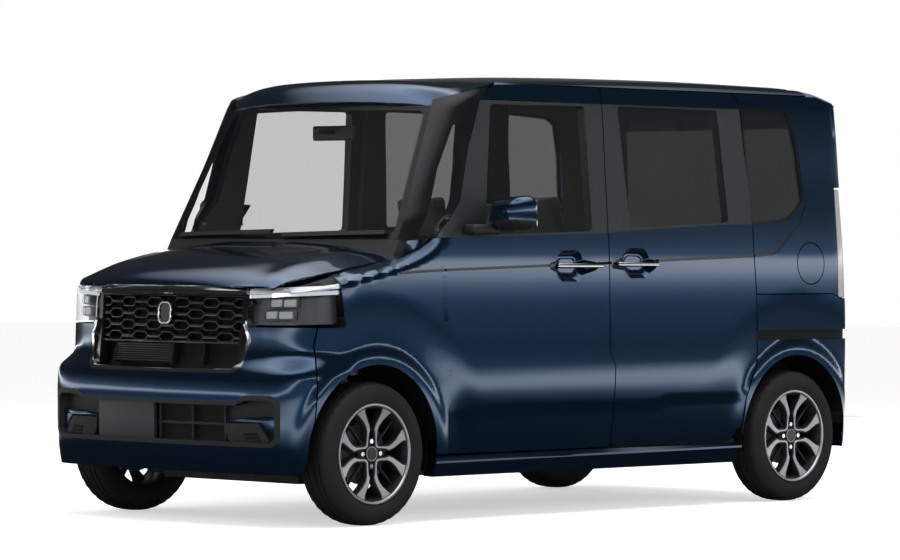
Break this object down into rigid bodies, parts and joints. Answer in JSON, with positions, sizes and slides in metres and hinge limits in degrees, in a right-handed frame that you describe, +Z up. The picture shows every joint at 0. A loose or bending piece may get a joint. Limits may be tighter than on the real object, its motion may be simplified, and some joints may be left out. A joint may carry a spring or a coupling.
{
  "type": "kei car",
  "caption": "Tall one-box microcar with hinged front doors, sliding rear doors, lifting tailgate and bonnet, steered front wheels and rolling rear wheels.",
  "frame": {"origin": "on the ground at the middle of the bounding box's base", "axes": "+Z up, the front faces -Y, the car's left side faces +X"},
  "size_m": [1.866, 3.3949, 1.7896],
  "materials": {
    "body_paint": "dark pearl blue metallic",
    "clear_glass": "light green tint",
    "privacy_glass": "dark tint",
    "black_plastic": "satin black",
    "chrome": "polished",
    "lamp_inside": "dark bezel",
    "lamp_lens": "clear",
    "tail_lens": "red lens",
    "underbody_steel": "black paint",
    "cabin_plastic": "grained",
    "seat_fabric": "woven",
    "cast_iron": "as cast",
    "leather": "smooth",
    "mirror": "mirror",
    "bare_steel": "dull",
    "tyre": "rubber",
    "alloy": "machined and dark painted"
  },
  "bodies": {
    "root": {"arch_liners": "black_plastic", "body_sides": "body_paint", "cowl": "black_plastic", "dashboard": "cabin_plastic", "engine": "cast_iron", "exhaust": "bare_steel", "floor_pan": "underbody_steel", "front_bumper": "body_paint", "front_seats": "seat_fabric", "front_suspension": "underbody_steel", "fuel_tank": "black_plastic", "grille": "black_plastic", "grille_trim": "chrome", "headlamp_lenses": "lamp_lens", "headlamps": "lamp_inside", "inner_mirror": "mirror", "plate_bracket": "black_plastic", "rear_bumper": "body_paint", "rear_seat": "seat_fabric", "rear_suspension": "underbody_steel", "roof": "body_paint", "side_glass": "privacy_glass", "side_sills": "body_paint", "sliding_doors": "body_paint", "tail_lamps": "tail_lens", "windscreen": "clear_glass", "wings": "body_paint", "wipers": "black_plastic"},
    "front_door_left": {"front_door_left": "body_paint", "front_door_glass_left": "clear_glass", "door_mirror_left": "body_paint"},
    "knuckle_left": {"knuckle_left": "cast_iron"},
    "wheel_front_left": {"tyre_front_left": "tyre", "wheel_front_left": "alloy"},
    "wheel_rear_left": {"tyre_rear_left": "tyre", "wheel_rear_left": "alloy"},
    "front_door_right": {"front_door_right": "body_paint", "front_door_glass_right": "clear_glass", "door_mirror_right": "body_paint"},
    "knuckle_right": {"knuckle_right": "cast_iron"},
    "wheel_front_right": {"tyre_front_right": "tyre", "wheel_front_right": "alloy"},
    "wheel_rear_right": {"tyre_rear_right": "tyre", "wheel_rear_right": "alloy"},
    "tailgate": {"tailgate": "body_paint", "tailgate_glass": "privacy_glass", "roof_spoiler": "body_paint"},
    "bonnet": {"bonnet": "body_paint"},
    "fuel_lid": {"fuel_lid": "body_paint"},
    "steering_wheel": {"steering_wheel": "leather"}
  },
  "joints": [
    {"name": "steer_left", "type": "hinge", "parent": "root", "child": "knuckle_left", "pos_m": [0.56, -1.2105, 0.278], "axis": [0, 0, 1], "range_deg": [-35, 35]},
    {"name": "wheel_front_left_spin", "type": "hinge", "parent": "knuckle_left", "child": "wheel_front_left", "pos_m": [0.6525, -1.2105, 0.278], "axis": [1, 0, 0], "continuous": true},
    {"name": "wheel_rear_left_spin", "type": "hinge", "parent": "root", "child": "wheel_rear_left", "pos_m": [0.6525, 1.3095, 0.278], "axis": [1, 0, 0], "continuous": true},
    {"name": "front_door_left_hinge", "type": "hinge", "parent": "root", "child": "front_door_left", "pos_m": [0.735, -0.806, 0.7], "axis": [0, 0, -1], "range_deg": [0, 65]},
    {"name": "steer_right", "type": "hinge", "parent": "root", "child": "knuckle_right", "pos_m": [-0.56, -1.2105, 0.278], "axis": [0, 0, 1], "range_deg": [-35, 35]},
    {"name": "wheel_front_right_spin", "type": "hinge", "parent": "knuckle_right", "child": "wheel_front_right", "pos_m": [-0.6525, -1.2105, 0.278], "axis": [1, 0, 0], "continuous": true},
    {"name": "wheel_rear_right_spin", "type": "hinge", "parent": "root", "child": "wheel_rear_right", "pos_m": [-0.6525, 1.3095, 0.278], "axis": [1, 0, 0], "continuous": true},
    {"name": "front_door_right_hinge", "type": "hinge", "parent": "root", "child": "front_door_right", "pos_m": [-0.735, -0.806, 0.7], "axis": [0, 0, 1], "range_deg": [0, 65]},
    {"name": "tailgate_hinge", "type": "hinge", "parent": "root", "child": "tailgate", "pos_m": [0, 1.434, 1.786], "axis": [1, 0, 0], "range_deg": [0, 80]},
    {"name": "bonnet_hinge", "type": "hinge", "parent": "root", "child": "bonnet", "pos_m": [0, -1.14, 1.078], "axis": [-1, 0, 0], "range_deg": [0, 55]},
    {"name": "fuel_lid_hinge", "type": "hinge", "parent": "root", "child": "fuel_lid", "pos_m": [0.7365, 1.32, 1.01], "axis": [0, 0, -1], "range_deg": [0, 85]},
    {"name": "steering_wheel_turn", "type": "hinge", "parent": "root", "child": "steering_wheel", "pos_m": [-0.33, -0.53, 0.9], "axis": [0, 0.9135, 0.4067], "range_deg": [-525, 525]}
  ],
  "couplings": [
    {"joint": "steer_right", "follows": "steer_left", "ratio": 1}
  ]
}
